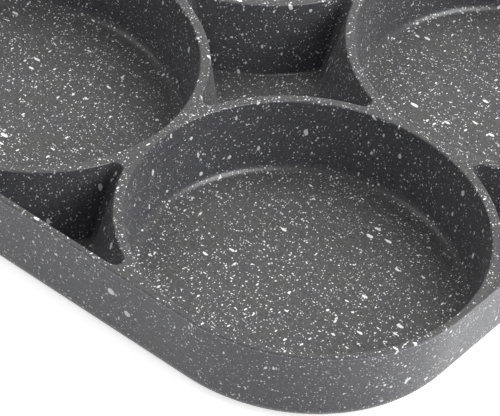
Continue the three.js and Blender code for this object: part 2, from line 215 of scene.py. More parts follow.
def rim_reach(draft):
    """How far a rounding between a drafted wall and the level rim reaches along the rim."""
    return RIM_ROUNDING * math.tan((QUARTER - draft) / 2)


def turned(points, angle):
    rotation = Matrix.Rotation(angle, 2)
    return [rotation @ p for p in points]


def quarter_turns(points):
    return [p for turn in range(4) for p in turned(points, turn * QUARTER)]


def circle(x, y, radius, count):
    return arc(x, y, radius, 0, 2 * math.pi, count)[:-1]


def rounded_square(corner_radius):
    return quarter_turns(arc(PITCH_HALF, PITCH_HALF, corner_radius, 0, QUARTER, CORNER_STEPS))


def pocket_sizes(inset):
    """Radius of the cup's wall, radius of a tip and the tip's distance from the line between cups."""
    wall = CUP_MOUTH_RADIUS + CUP_WALL + inset
    tip = max(POCKET_TIP_RADIUS - inset, POCKET_LEAST_TIP)
    return wall, tip, math.sqrt((wall + tip) ** 2 - PITCH_HALF ** 2)


def middle_pocket(inset):
    wall, tip, across = pocket_sizes(inset)
    opening = math.atan2(PITCH_HALF, across)
    point = arc(PITCH_HALF - across, 0, tip, -opening, opening, TIP_STEPS)
    start = opening - math.pi
    end = -opening - QUARTER
    side = arc(PITCH_HALF, PITCH_HALF, wall, start, end, POCKET_WALL_STEPS)
    return quarter_turns(point + side[1:-1])


def side_pocket(inset):
    """The pocket on the -Y side, between two cups and the outer wall."""
    wall, tip, across = pocket_sizes(inset)
    inner_angle = math.atan2(across, PITCH_HALF)
    outer_y = tip - (PITCH_HALF + OUTER_RADIUS - SIDE_WALL - inset)
    outer_angle = math.asin((-PITCH_HALF - outer_y) / (wall + tip))
    outer_x = PITCH_HALF - (wall + tip) * math.cos(outer_angle)
    outer = arc(outer_x, outer_y, tip, -QUARTER, outer_angle, TIP_STEPS)
    start = math.pi + outer_angle
    end = math.pi + inner_angle
    side = arc(PITCH_HALF, -PITCH_HALF, wall, start, end, POCKET_WALL_STEPS)
    inner = arc(0, -PITCH_HALF - across, tip, inner_angle, QUARTER, TIP_STEPS // 2)
    right = outer + side[1:-1] + inner
    return right + [Vector((-p.x, p.y)) for p in reversed(right[:-1])]


# Meshes

def ring(bm, points):
    return [bm.verts.new(p) for p in points]


def level_ring(bm, outline, z):
    return ring(bm, [(p.x, p.y, z) for p in outline])


def loop_edges(bm, loop):
    pairs = zip(loop, loop[1:] + loop[:1])
    return [bm.edges.get(pair) or bm.edges.new(pair) for pair in pairs]


def bridge(bm, low, high, skip=None):
    """Quads between two rings of equal length, all round or without the one at index skip."""
    count = len(low)
    for i in range(count):
        if i != skip:
            j = (i + 1) % count
            bm.faces.new((low[i], low[j], high[j], high[i]))


def skin(bm, rings):
    for low, high in zip(rings, rings[1:]):
        bridge(bm, low, high)


def fan(bm, loop, centre):
    middle = bm.verts.new(centre)
    for a, b in zip(loop, loop[1:] + loop[:1]):
        bm.faces.new((a, b, middle))


def cap(bm, loop):
    """Closes a loop with a fan round its middle."""
    middle = sum((vert.co for vert in loop), Vector()) / len(loop)
    fan(bm, loop, middle)


def fill(bm, *loops):
    """Triangles between loops that lie in one plane."""
    edges = [edge for loop in loops for edge in loop_edges(bm, loop)]
    bmesh.ops.triangle_fill(bm, use_beauty=True, use_dissolve=False, edges=edges)


def finished(bm, name):
    """An object in metres from a mesh in millimetres."""
    bmesh.ops.recalc_face_normals(bm, faces=bm.faces)
    bm.transform(Matrix.Scale(MM, 4))
    mesh = bpy.data.meshes.new(name)
    bm.to_mesh(mesh)
    bm.free()
    piece = bpy.data.objects.new(name, mesh)
    bpy.context.scene.collection.objects.link(piece)
    shade(mesh)
    return piece


def shade(mesh):
    """Smooth shading with crisp edges."""
    mesh.polygons.foreach_set("use_smooth", [True] * len(mesh.polygons))
    mesh.set_sharp_from_angle(angle=SHARP)


def cut(piece, cutter):
    """Takes the cutter's volume out of a piece and removes the cutter."""
    boolean = piece.modifiers.new("cut", "BOOLEAN")
    boolean.object = cutter
    boolean.operation = "DIFFERENCE"
    boolean.solver = "EXACT"
    evaluated = piece.evaluated_get(bpy.context.evaluated_depsgraph_get())
    mesh = bpy.data.meshes.new_from_object(evaluated)
    piece.modifiers.clear()
    piece.data = mesh
    bpy.data.objects.remove(cutter)
    shade(mesh)


# Pan body

def add_cup(bm, x, y):
    """One cup, from its floor to the level rim. Returns the loop that the rim starts from."""
    floor_radius = CUP_MOUTH_RADIUS - CUP_DEPTH * math.tan(CUP_DRAFT)
    mouth = CUP_MOUTH_RADIUS + rim_reach(CUP_DRAFT)
    profile = rounded([
        (floor_radius / 2, BASE_THICKNESS),
        (floor_radius - 2 * CUP_FLOOR_FILLET, BASE_THICKNESS),
        (floor_radius, BASE_THICKNESS, CUP_FLOOR_FILLET),
        (CUP_MOUTH_RADIUS, RIM_Z, RIM_ROUNDING),
        (mouth + RIM_STRIP, RIM_Z),
    ], FILLET_STEPS)
    rings = [level_ring(bm, circle(x, y, p.x, CUP_POINTS), p.y) for p in profile]
    skin(bm, rings)
    fan(bm, rings[0], (x, y, BASE_THICKNESS))
    return rings[-1]


def add_pocket(bm, outline, turn):
    """One pocket, from its floor to the level rim. Returns the loop that the rim starts from."""
    foot = CUP_DEPTH * math.tan(POCKET_DRAFT)
    profile = rounded([
        (foot + 2 * POCKET_FLOOR_FILLET, BASE_THICKNESS),
        (foot, BASE_THICKNESS, POCKET_FLOOR_FILLET),
        (0, RIM_Z, RIM_ROUNDING),
        (-rim_reach(POCKET_DRAFT) - RIM_STRIP, RIM_Z),
    ], FILLET_STEPS)
    rings = [level_ring(bm, turned(outline(p.x), turn), p.y) for p in profile[1:]]
    skin(bm, rings)
    fill(bm, rings[0])
    return rings[-1]


def add_outside(bm):
    """The outside from the base to the rim. Returns the base's loop, the rim's loop and the corners of
    the wall on the handle's side, which is left open for the lug."""
    lip_foot = WALL_TOP_Z - LIP_SLOPE
    lip_radius = WALL_TOP_RADIUS + LIP_STEP
    profile = rounded([
        (outer_wall_radius(0) - 2 * BASE_EDGE_RADIUS, 0),
        (outer_wall_radius(0), 0, BASE_EDGE_RADIUS),
        (outer_wall_radius(lip_foot), lip_foot, LIP_FOOT_ROUNDING),
        (lip_radius, WALL_TOP_Z, LIP_EDGE_ROUNDING),
        (lip_radius, RIM_Z, LIP_TOP_ROUNDING),
        (lip_radius - LIP_TOP_ROUNDING - RIM_STRIP, RIM_Z),
    ], FILLET_STEPS)
    rings = [level_ring(bm, rounded_square(p.x), p.y) for p in profile]
    wall_foot = 1 + FILLET_STEPS
    panel_index = 2 * (CORNER_STEPS + 1) - 1
    for i, (low, high) in enumerate(zip(rings, rings[1:])):
        bridge(bm, low, high, skip=panel_index if i == wall_foot else None)
    low, high = rings[wall_foot], rings[wall_foot + 1]
    panel = [low[panel_index], low[panel_index + 1], high[panel_index + 1], high[panel_index]]
    return rings[0], rings[-1], panel


def rounded_rectangle(width, thickness, centre=0):
    """Section of lug, tenon or sleeve, with its points at even angles round its middle."""
    corner = min(width, thickness) * SLEEVE_ROUNDNESS
    x, y = width / 2, thickness / 2
    points = []
    for angle in SECTION_ANGLES:
        c, s = abs(math.cos(angle)), abs(math.sin(angle))
        if c * (y - corner) >= s * x:
            radius = x / c
        elif s * (x - corner) >= c * y:
            radius = y / s
        else:
            along = c * (x - corner) + s * (y - corner)
            spare = (x - corner) ** 2 + (y - corner) ** 2 - corner ** 2
            radius = along + math.sqrt(along ** 2 - spare)
        points.append(Vector((radius * math.cos(angle), centre + radius * math.sin(angle))))
    return points


def section_ring(bm, outline, z):
    return ring(bm, [HANDLE @ Vector((p.x, p.y, z)) for p in outline])


def station_on_wall(p):
    """Where a line along the handle through the section's point p meets the pan's wall."""
    start = HANDLE @ Vector((p.x, p.y, 0))
    along = HANDLE.to_3x3() @ Vector((0, 0, 1))
    slope = math.tan(OUTER_DRAFT)
    outside = start.x + PITCH_HALF + outer_wall_radius(start.z)
    return -outside / (along.x + along.z * slope)


def lug_root_ring(bm, flare, height):
    """A ring round the lug's root, at an even height above the sloping wall."""
    above, below = LUG_FLARE_ABOVE * flare, LUG_FLARE_BELOW * flare
    width = TENON_WIDTH + 2 * (LUG_SHOULDER + flare)
    thickness = TENON_THICKNESS + 2 * LUG_SHOULDER + above + below
    outline = rounded_rectangle(width, thickness, (above - below) / 2)
    return ring(bm, [HANDLE @ Vector((p.x, p.y, station_on_wall(p) + height)) for p in outline])


def add_lug(bm, panel):
    """The cast lug with its tenon and the bore for the threaded insert."""
    rings = [lug_root_ring(bm, LUG_ROOT_FLARE + RIM_ROUNDING, 0)]
    for i in range(FILLET_STEPS + 1):
        angle = QUARTER * i / FILLET_STEPS
        flare = LUG_ROOT_FLARE * (1 - math.sin(angle))
        rings.append(lug_root_ring(bm, flare, LUG_ROOT_FLARE * (1 - math.cos(angle))))
    fill(bm, panel, rings[0])
    profile = rounded([
        (LUG_SHOULDER, LUG_LENGTH - 2 * LUG_EDGE_ROUNDING),
        (LUG_SHOULDER, LUG_LENGTH, LUG_EDGE_ROUNDING),
        (0, LUG_LENGTH),
        (0, TENON_END, LUG_EDGE_ROUNDING / 2),
        (-TENON_ROOF / 2, TENON_END),
    ], EDGE_STEPS)
    for p in profile:
        outline = rounded_rectangle(TENON_WIDTH + 2 * p.x, TENON_THICKNESS + 2 * p.x)
        rings.append(section_ring(bm, outline, p.y))
    bore = circle(0, 0, INSERT_RADIUS + GAP, SECTION_POINTS)
    bore_end = TENON_END - INSERT_LENGTH - GAP
    rings += [section_ring(bm, bore, TENON_END), section_ring(bm, bore, bore_end)]
    skin(bm, rings)
    fan(bm, rings[-1], HANDLE @ Vector((0, 0, bore_end)))


def pan_body():
    bm = bmesh.new()
    base, rim, panel = add_outside(bm)
    signs = (-1, 1)
    loops = [add_cup(bm, x * PITCH_HALF, y * PITCH_HALF) for x in signs for y in signs]
    loops += [add_pocket(bm, side_pocket, turn * QUARTER) for turn in range(4)]
    loops.append(add_pocket(bm, middle_pocket, 0))
    fill(bm, rim, *loops)
    recess = circle(0, 0, DISC_RADIUS + GAP, CUP_POINTS)
    recess_edge = level_ring(bm, recess, 0)
    recess_roof = level_ring(bm, recess, DISC_THICKNESS)
    fill(bm, base, recess_edge)
    bridge(bm, recess_edge, recess_roof)
    fan(bm, recess_roof, (0, 0, DISC_THICKNESS))
    add_lug(bm, panel)
    return finished(bm, "coated_body")


# Base disc

def hole_centres():
    step = (DISC_RADIUS - DISC_BORDER - DISC_FIRST_RING) / (DISC_RINGS - 1)
    for i in range(DISC_RINGS):
        count = DISC_RING_HOLES * (i + 1)
        yield from circle(0, 0, DISC_FIRST_RING + i * step, count)


def disc_profile(radius, rounding):
    """Edge of a disc or hole as (radius, z), from the lower face to the upper. A hole's rounding is
    below 0, which turns it outwards."""
    side = abs(rounding)
    middle_radius = radius - rounding * (1 - math.sin(QUARTER / 2))
    middle_height = side * (1 - math.cos(QUARTER / 2))
    return [
        (radius - rounding, 0),
        (middle_radius, middle_height),
        (radius, side),
        (radius, DISC_THICKNESS - side),
        (middle_radius, DISC_THICKNESS - middle_height),
        (radius - rounding, DISC_THICKNESS),
    ]


def induction_disc():
    bm = bmesh.new()
    edge = disc_profile(DISC_RADIUS, DISC_EDGE_ROUNDING)
    hole = disc_profile(DISC_HOLE_RADIUS, -DISC_EDGE_ROUNDING)
    edges = [[level_ring(bm, circle(0, 0, radius, CUP_POINTS), z) for radius, z in edge]]
    for centre in hole_centres():
        edges.append([level_ring(bm, circle(centre.x, centre.y, r, HOLE_POINTS), z) for r, z in hole])
    for rings in edges:
        skin(bm, rings)
    fill(bm, *[rings[0] for rings in edges])
    fill(bm, *[rings[-1] for rings in edges])
    return finished(bm, "base_disc")


def base_plugs():
    """Cast metal that the disc's holes are filled with, one button in each hole."""
    bm = bmesh.new()
    radius = DISC_HOLE_RADIUS - PLUG_CLEARANCE
    profile = rounded([
        (radius / 2, PLUG_CLEARANCE),
        (radius, PLUG_CLEARANCE, DISC_EDGE_ROUNDING),
        (radius, DISC_THICKNESS),
    ], PLUG_EDGE_STEPS)
    for centre in hole_centres():
        rings = [level_ring(bm, circle(centre.x, centre.y, p.x, HOLE_POINTS), p.y) for p in profile]
        skin(bm, rings)
        fan(bm, rings[0], (centre.x, centre.y, PLUG_CLEARANCE))
        fan(bm, rings[-1], (centre.x, centre.y, DISC_THICKNESS))
    return finished(bm, "base_plugs")


# Handle

def guard_section(station, grow):
    """Section of the sleeve's inside at a station along the handle, grown all round."""
    spread = 2 * GUARD_FLARE * (station - GUARD_START) / GUARD_LENGTH + 2 * GAP + 2 * grow
    return rounded_rectangle(TENON_WIDTH + spread, TENON_THICKNESS + spread)


def flame_guard():
    bm = bmesh.new()
    profile = rounded([
        (GUARD_WALL, GUARD_START, GUARD_EDGE_ROUNDING),
        (GUARD_WALL, GUARD_END, GUARD_EDGE_ROUNDING),
        (0, GUARD_END, GUARD_EDGE_ROUNDING),
        (0, GUARD_START, GUARD_EDGE_ROUNDING),
    ], EDGE_STEPS)
    rings = [section_ring(bm, guard_section(p.y, p.x), p.y) for p in profile]
    skin(bm, rings + rings[:1])
    return finished(bm, "steel_sleeve")


def through(values, t):
    """A smooth curve through evenly spaced values, at t from 0 to 1."""
    place = t * (len(values) - 1)
    i = min(int(place), len(values) - 2)
    w = place - i
    before = values[max(i - 1, 0)]
    a, b = values[i], values[i + 1]
    after = values[min(i + 2, len(values) - 1)]
    slope_a, slope_b = (b - before) / 2, (after - a) / 2
    return ((2 * a - 2 * b + slope_a + slope_b) * w ** 3
            + (3 * b - 3 * a - 2 * slope_a - slope_b) * w ** 2 + slope_a * w + a)


def grip_sizes(t):
    """Half width, half thickness and centre line of the grip, at t from 0 (shoulder) to 1 (end)."""
    spread = 2 * GUARD_FLARE + 2 * (GAP + GUARD_WALL + SHOULDER)
    half_width = (TENON_WIDTH + spread) / 2
    half_thickness = (TENON_THICKNESS + spread) / 2
    palm = half_width + GRIP_PALM_SWELL
    waist = half_thickness - GRIP_WAIST / 2
    widths = (half_width, half_width - GRIP_WAIST, palm, (palm + half_width) / 2)
    thicknesses = (half_thickness, waist, half_thickness, GRIP_END_THICKNESS / 2)
    centres = (0, 0, -GRIP_DROOP / 3, -GRIP_DROOP)
    return through(widths, t) - GRIP_SKIN, through(thicknesses, t) - GRIP_SKIN, through(centres, t)


def grip_section(t, scale, inset):
    """Section of the grip at t, scaled about its centre line and then drawn in by an inset."""
    half_width, half_thickness, centre = grip_sizes(t)
    points = []
    for angle in SECTION_ANGLES:
        c, s = math.cos(angle), math.sin(angle)
        depth = half_thickness * GRIP_UNDERSIDE if s < 0 else half_thickness
        spread = (abs(c) / (half_width * scale - inset)) ** GRIP_FULLNESS
        rise = (abs(s) / (depth * scale - inset)) ** GRIP_FULLNESS
        radius = (spread + rise) ** (-1 / GRIP_FULLNESS)
        points.append(Vector((radius * c, centre + radius * s)))
    return points


def grip_ring(bm, t, scale=1, inset=0):
    return section_ring(bm, grip_section(t, scale, inset), GRIP_START + t * GRIP_LENGTH)


def grip_surface(x, station, side):
    """Height of the grip's top (side 1) or underside (side -1) in the handle's frame."""
    half_width, half_thickness, centre = grip_sizes((station - GRIP_START) / GRIP_LENGTH)
    depth = half_thickness if side > 0 else half_thickness * GRIP_UNDERSIDE
    return centre + side * depth * (1 - abs(x / half_width) ** GRIP_FULLNESS) ** (1 / GRIP_FULLNESS)


def add_grip_inside(bm):
    """Rings of the screw's bore, from its far end towards the pan, and of the spigot round it."""
    access = circle(0, 0, SCREW_HEAD_RADIUS + GAP, SECTION_POINTS)
    hole = circle(0, 0, SCREW_HOLE_RADIUS, SECTION_POINTS)
    front = TENON_END + GAP
    rings = [section_ring(bm, access, SLOT_MIDDLE), section_ring(bm, access, SEAT)]
    rings += [section_ring(bm, hole, SEAT), section_ring(bm, hole, front)]
    rings.append(section_ring(bm, guard_section(front, -GAP), front))
    rings.append(section_ring(bm, guard_section(GUARD_END, -GAP), GUARD_END))
    rings.append(section_ring(bm, guard_section(GUARD_END, -GAP), GRIP_START))
    return rings


def handle_grip():
    bm = bmesh.new()
    rings = add_grip_inside(bm)
    for i in range(FILLET_STEPS + 1):
        angle = QUARTER * i / FILLET_STEPS
        inset = GRIP_SHOULDER_ROUNDING * (1 - math.sin(angle))
        t = GRIP_SHOULDER_ROUNDING * (1 - math.cos(angle)) / GRIP_LENGTH
        rings.append(grip_ring(bm, t, inset=inset))
    body_start = 2 * GRIP_SHOULDER_ROUNDING / GRIP_LENGTH
    body_end = 1 - GRIP_END_ROUNDING / GRIP_LENGTH
    for i in range(GRIP_BODY_STEPS + 1):
        t = body_start + (body_end - body_start) * i / GRIP_BODY_STEPS
        rings.append(grip_ring(bm, t))
    tip = body_end + (1 - body_end) * GRIP_END_REACH
    for i in range(GRIP_END_STEPS):
        angle = GRIP_END_TURN * (i + 1) / GRIP_END_STEPS
        t = body_end + (tip - body_end) * math.sin(angle)
        rings.append(grip_ring(bm, t, scale=math.cos(angle) ** GRIP_END_BLUNTNESS))
    skin(bm, rings)
    fan(bm, rings[0], HANDLE @ Vector((0, 0, SLOT_MIDDLE)))
    cap(bm, rings[-1])
    grip = finished(bm, "wood_effect_grip")
    cut(grip, hang_slot_cutter())
    return grip


def slot_outline(offset):
    """Outline of the hang slot in the handle's frame as (x, z), grown by an offset."""
    straight = (HANG_SLOT_LENGTH - HANG_SLOT_WIDTH) / 2
    radius = HANG_SLOT_WIDTH / 2 + offset
    far = arc(0, SLOT_MIDDLE + straight, radius, 0, math.pi, CORNER_STEPS)
    return far + arc(0, SLOT_MIDDLE - straight, radius, math.pi, 2 * math.pi, CORNER_STEPS)


def hang_slot_cutter():
    """The hang slot's volume, with its two mouths flared into a rounding that follows the grip."""
    rounding = HANG_SLOT_ROUNDING
    start = HANG_SLOT_MOUTH_ANGLE
    profile = []
    for i in range(FILLET_STEPS + 1):
        angle = start + (QUARTER - start) * i / FILLET_STEPS
        profile.append((rounding * (1 - math.sin(angle)), rounding * (1 - math.cos(angle))))
    first_offset, first_depth = profile[0]
    mouth = first_offset + (first_depth + HANG_SLOT_OVERRUN) / math.tan(start)
    profile = [(mouth, -rounding), (mouth, -HANG_SLOT_OVERRUN)] + profile
    bm = bmesh.new()
    rings = []
    for side, run in ((1, profile), (-1, profile[::-1])):
        for offset, depth in run:
            points = []
            for p in slot_outline(offset):
                height = grip_surface(p.x, p.y, side) - side * depth
                points.append(HANDLE @ Vector((p.x, height, p.y)))
            rings.append(ring(bm, points))
    skin(bm, rings)
    cap(bm, rings[0])
    cap(bm, rings[-1])
    return finished(bm, "slot_cutter")


# Materials

PER_METRE = 1000.0  # turns the object's metres into millimetres
HANDLE_TURN = (0.0, -HANDLE_RISE, 0.0)  # brings the handle's length onto the X axis

# Sockets of a mix node that mixes colours
MIX_FACTOR = 0
MIX_A = 6
MIX_B = 7
MIX_RESULT = 2


class Shader:
    """A material under construction. The surface's constant values are set on its own sockets."""

    def __init__(self, name, **constants):
        self.material = bpy.data.materials.new(name)
        self.material.use_nodes = True
        self.tree = self.material.node_tree
        self.surface = self.tree.nodes["Principled BSDF"]
        for socket, value in constants.items():
            self.surface.inputs[socket.replace("_", " ")].default_value = value
        self.position = self.node("ShaderNodeTexCoord").outputs["Object"]

    def put(self, socket, value):
        if isinstance(value, bpy.types.NodeSocket):
            self.tree.links.new(value, socket)
        else:
            socket.default_value = value

    def node(self, kind, inputs=None, **settings):
        made = self.tree.nodes.new(kind)
        for name, value in settings.items():
            setattr(made, name, value)
        for name, value in (inputs or {}).items():
            self.put(made.inputs[name], value)
        return made

    def math(self, operation, *values, clamp=False):
        inputs = dict(enumerate(values))
        made = self.node("ShaderNodeMath", inputs, operation=operation, use_clamp=clamp)
        return made.outputs[0]

    def mapped(self, scale, turn=(0, 0, 0), vector=None):
        inputs = {"Vector": vector or self.position, "Scale": scale, "Rotation": turn}
        return self.node("ShaderNodeMapping", inputs).outputs["Vector"]

    def millimetres(self):
        return self.mapped((PER_METRE,) * 3)

    def along_handle(self, lengthwise, across):
        """Position for a grain along the handle, scaled per millimetre lengthwise and across."""
        scale = (lengthwise * PER_METRE, across * PER_METRE, across * PER_METRE)
        return self.mapped(scale, HANDLE_TURN)

    def shifted(self, vector, colour, amount):
        """A vector moved along each axis by an amount times the colour's red, green or blue."""
        inputs = {0: colour, 1: (amount,) * 3, 2: vector}
        return self.node("ShaderNodeVectorMath", inputs, operation="MULTIPLY_ADD").outputs[0]

    def noise(self, vector, scale, detail=2.0, roughness=0.5):
        inputs = {"Vector": vector, "Scale": scale, "Detail": detail, "Roughness": roughness}
        return self.node("ShaderNodeTexNoise", inputs)

    def mix(self, factor, a, b):
        inputs = {MIX_FACTOR: factor, MIX_A: a, MIX_B: b}
        return self.node("ShaderNodeMix", inputs, data_type="RGBA").outputs[MIX_RESULT]

    def ramp(self, value, low, high, to_low=0.0, to_high=1.0):
        inputs = {
            "Value": value,
            "From Min": low,
            "From Max": high,
            "To Min": to_low,
            "To Max": to_high,
        }
        return self.node("ShaderNodeMapRange", inputs).outputs["Result"]

    def bump(self, height, strength, distance):
        inputs = {"Height": height, "Strength": strength, "Distance": distance}
        normal = self.node("ShaderNodeBump", inputs).outputs["Normal"]
        self.put(self.surface.inputs["Normal"], normal)

    def drive(self, **sockets):
        for name, value in sockets.items():
            self.put(self.surface.inputs[name.replace("_", " ")], value)


# Coat under the flecks
COAT_IOR = 1.4
COAT_WARM = (0.109, 0.108, 0.105, 1)
# cool colour of steep faces, a painted shade tint
COAT_COOL_SHADE_TINT = (0.102, 0.103, 0.119, 1)
COAT_DARK = (0.045, 0.045, 0.05, 1)
COAT_PALE = (0.2, 0.2, 0.206, 1)
COAT_LEVEL_WARMTH = 0.7  # how much of the cool tint a level face loses; the cool tint kept by steep faces is painted shade

# Flecks of the coat, from the largest to the smallest, with their lengths in millimetres
FLECK_LAYERS = (
    {"cell": 5.0, "radius": 1.2, "share": 0.19, "turn": (0.4, 0.2, 0.9), "stretch": (1, 2.2, 1)},
    {"cell": 2.5, "radius": 0.64, "share": 0.21, "turn": (0.9, 0.5, 2.2), "stretch": (2, 1, 1)},
    {"cell": 1.3, "radius": 0.36, "share": 0.16, "turn": (0.3, 1.1, 0.5), "stretch": (1, 1.5, 1)},
    {"cell": 0.75, "radius": 0.24, "share": 0.30, "turn": (1.3, 0.2, 1.6), "stretch": (1, 1, 1)},
    {"cell": 0.42, "radius": 0.16, "share": 0.18, "turn": (0.7, 0.8, 0.3), "stretch": (1, 1, 1)},
)
FLECK_COLOUR = (0.97, 0.97, 0.97, 1)
FLECK_SMALLEST = 0.5  # radius of a layer's smallest flecks, as a share of the layer's radius
FLECK_EDGE = 0.05  # width of a fleck's soft edge, as a share of the layer's radius
FLECK_FAINTEST = 0.9  # cover of a layer's faintest flecks
FLECK_WOBBLE = 0.55  # how far the outlines waver


def fleck_layer(shader, position, crowding, cell, radius, share, turn, stretch):
    """Flecks of one size. Each cell holds a fleck with a chance of share times the crowding."""
    place = shader.mapped(tuple(s / cell for s in stretch), turn, position)
    cells = shader.node("ShaderNodeTexVoronoi", {"Vector": place, "Scale": 1.0})
    chance = shader.node("ShaderNodeSeparateColor", {"Color": cells.outputs["Color"]})
    limit = shader.math("MULTIPLY", crowding, share)
    kept = shader.math("LESS_THAN", chance.outputs["Red"], limit)
    size = shader.ramp(
        chance.outputs["Green"],
        low=0.0,
        high=1.0,
        to_low=FLECK_SMALLEST * radius / cell,
        to_high=radius / cell,
    )
    inside = shader.math("SUBTRACT", size, cells.outputs["Distance"])
    spot = shader.ramp(inside, low=0.0, high=FLECK_EDGE * radius / cell)
    cover = shader.math("MULTIPLY", kept, spot)
    strength = shader.ramp(chance.outputs["Blue"], low=0.0, high=0.7, to_low=FLECK_FAINTEST)
    return shader.math("MULTIPLY", cover, strength)


def coat_material():
    """Dark grey non-stick coat with pale flecks of several sizes, fewer of them on steep faces. Steep
    faces also get a cooler tint, which is painted shade.
    """
    shader = Shader("fleck_coat", IOR=COAT_IOR)
    position = shader.millimetres()
    wobble = shader.noise(position, scale=1.3, detail=3.0, roughness=0.6).outputs["Color"]
    wavering = shader.shifted(position, wobble, FLECK_WOBBLE)
    normal = shader.node("ShaderNodeTexCoord").outputs["Normal"]
    level = shader.math("ABSOLUTE", shader.node("ShaderNodeSeparateXYZ", {0: normal}).outputs["Z"])
    patches = shader.noise(position, scale=0.09).outputs["Fac"]
    settled = shader.ramp(level, low=0.3, high=0.9, to_low=0.8)
    patchy = shader.ramp(patches, low=0.3, high=0.7, to_low=0.7, to_high=1.35)
    crowding = shader.math("MULTIPLY", settled, patchy)
    layers = [fleck_layer(shader, wavering, crowding, **layer) for layer in FLECK_LAYERS]
    flecks = layers[0]
    for layer in layers[1:]:
        flecks = shader.math("MAXIMUM", flecks, layer)
    # Painted shade: steep faces get the cool colour and level faces mostly keep the warm one, in
    # random patches
    tint = shader.noise(position, scale=0.16).outputs["Fac"]
    tint = shader.ramp(tint, low=0.3, high=0.6, to_low=0.6)
    shade_tint_share = shader.math("MULTIPLY_ADD", level, -COAT_LEVEL_WARMTH, tint, clamp=True)
    base = shader.mix(shade_tint_share, COAT_WARM, COAT_COOL_SHADE_TINT)
    mottle = shader.noise(position, scale=1.8, detail=3.0, roughness=0.6).outputs["Fac"]
    base = shader.mix(shader.ramp(mottle, low=0.45, high=0.72, to_high=0.6), base, COAT_DARK)
    base = shader.mix(shader.ramp(mottle, low=0.5, high=0.25, to_high=0.4), base, COAT_PALE)
    colour = shader.mix(flecks, base, FLECK_COLOUR)
    grain = shader.noise(position, scale=1.6, detail=3.0, roughness=0.55).outputs["Fac"]
    roughness = shader.ramp(grain, low=0.2, high=0.8, to_low=0.25, to_high=0.33)
    shader.drive(Base_Color=colour, Roughness=roughness)
    shader.bump(grain, strength=0.12, distance=0.2 * MM)
    return shader.material


def turned_metal(name, dark, pale, least_roughness, most_roughness):
    """Metal that was faced on a lathe, with fine lines round the middle of the base."""
    shader = Shader(name, Metallic=1.0)
    flat = shader.mapped((PER_METRE, PER_METRE, 0.0))
    radius = shader.node("ShaderNodeVectorMath", {0: flat}, operation="LENGTH").outputs["Value"]
    lines = shader.node(
        "ShaderNodeTexNoise",
        {"W": radius, "Scale": 2.6, "Detail": 4.0, "Roughness": 0.7},
        noise_dimensions="1D",
    ).outputs["Fac"]
    smudge = shader.noise(flat, scale=0.05, detail=3.0).outputs["Fac"]
    roughness = shader.ramp(smudge, low=0.3, high=0.7, to_low=least_roughness, to_high=most_roughness)
    shader.drive(Base_Color=shader.mix(lines, dark, pale), Roughness=roughness)
    shader.bump(lines, strength=0.5, distance=0.08 * MM)
    return shader.material


def brushed_sleeve_material():
    """Stainless steel brushed along the handle."""
    shader = Shader("brushed_sleeve", Metallic=1.0)
    along = shader.along_handle(lengthwise=0.06, across=2.2)
    strokes = shader.noise(along, scale=1.0, detail=4.0, roughness=0.65).outputs["Fac"]
    dark = (0.52, 0.52, 0.53, 1)
    pale = (0.66, 0.66, 0.67, 1)
    colour = shader.mix(shader.ramp(strokes, low=0.3, high=0.7), dark, pale)
    roughness = shader.ramp(strokes, low=0.3, high=0.7, to_low=0.24, to_high=0.36)
    shader.drive(Base_Color=colour, Roughness=roughness)
    shader.bump(strokes, strength=0.2, distance=0.05 * MM)
    return shader.material


def plated_material():
    """Zinc plate with the faint cloudy bloom that plating has."""
    shader = Shader("zinc_plate", Metallic=1.0)
    position = shader.millimetres()
    cloud = shader.noise(position, scale=0.5, detail=4.0, roughness=0.6).outputs["Fac"]
    bluish = (0.46, 0.48, 0.53, 1)
    yellowish = (0.58, 0.57, 0.54, 1)
    colour = shader.mix(shader.ramp(cloud, low=0.3, high=0.7), bluish, yellowish)
    roughness = shader.ramp(cloud, low=0.3, high=0.7, to_low=0.28, to_high=0.42)
    shader.drive(Base_Color=colour, Roughness=roughness)
    grain = shader.noise(position, scale=6.0).outputs["Fac"]
    shader.bump(grain, strength=0.1, distance=0.04 * MM)
    return shader.material


# Wood effect of the grip
WOOD_PALE = (0.46, 0.255, 0.125, 1)
WOOD_DARK = (0.27, 0.130, 0.058, 1)
WOOD_PORE = (0.12, 0.055, 0.025, 1)
WOOD_BEND = 0.9  # how far the growth bands wander
WOOD_BAND_SHARE = 0.6
WOOD_FIBRE_SHARE = 0.5
WOOD_PORE_COVER = 0.55


def wood_effect_material():
    """Moulded grip with a printed wood effect: growth bands, fibres and pores along the handle."""
    shader = Shader("wood_effect", Coat_Weight=0.15, Coat_Roughness=0.25)
    along = shader.along_handle(lengthwise=0.012, across=0.16)
    bend = shader.noise(along, scale=0.7).outputs["Color"]
    bent = shader.shifted(along, bend, WOOD_BEND)
    bands = shader.node(
        "ShaderNodeTexWave",
        {"Vector": bent, "Scale": 0.8, "Distortion": 3.0, "Detail": 3.0},
        wave_type="BANDS",
        bands_direction="Z",
        wave_profile="SAW",
    ).outputs["Fac"]
    fibre_place = shader.along_handle(lengthwise=0.05, across=2.4)
    fibres = shader.noise(fibre_place, scale=1.0, detail=3.0, roughness=0.6).outputs["Fac"]
    pore_place = shader.along_handle(lengthwise=0.22, across=3.2)
    pores = shader.noise(pore_place, scale=1.0, detail=1.0).outputs["Fac"]
    pores = shader.ramp(pores, low=0.66, high=0.72)
    grain = shader.math("MULTIPLY", bands, WOOD_BAND_SHARE)
    grain = shader.math("MULTIPLY_ADD", fibres, WOOD_FIBRE_SHARE, grain)
    colour = shader.mix(shader.ramp(grain, low=0.2, high=0.85), WOOD_PALE, WOOD_DARK)
    colour = shader.mix(shader.math("MULTIPLY", pores, WOOD_PORE_COVER), colour, WOOD_PORE)
    roughness = shader.ramp(fibres, low=0.3, high=0.7, to_low=0.40, to_high=0.55)
    shader.drive(Base_Color=colour, Roughness=roughness)
    shader.bump(shader.math("SUBTRACT", fibres, pores), strength=0.15, distance=0.1 * MM)
    return shader.material


FLOOR_COLOUR = (0.8, 0.8, 0.8, 1)
FLOOR_GLOW = 0.77


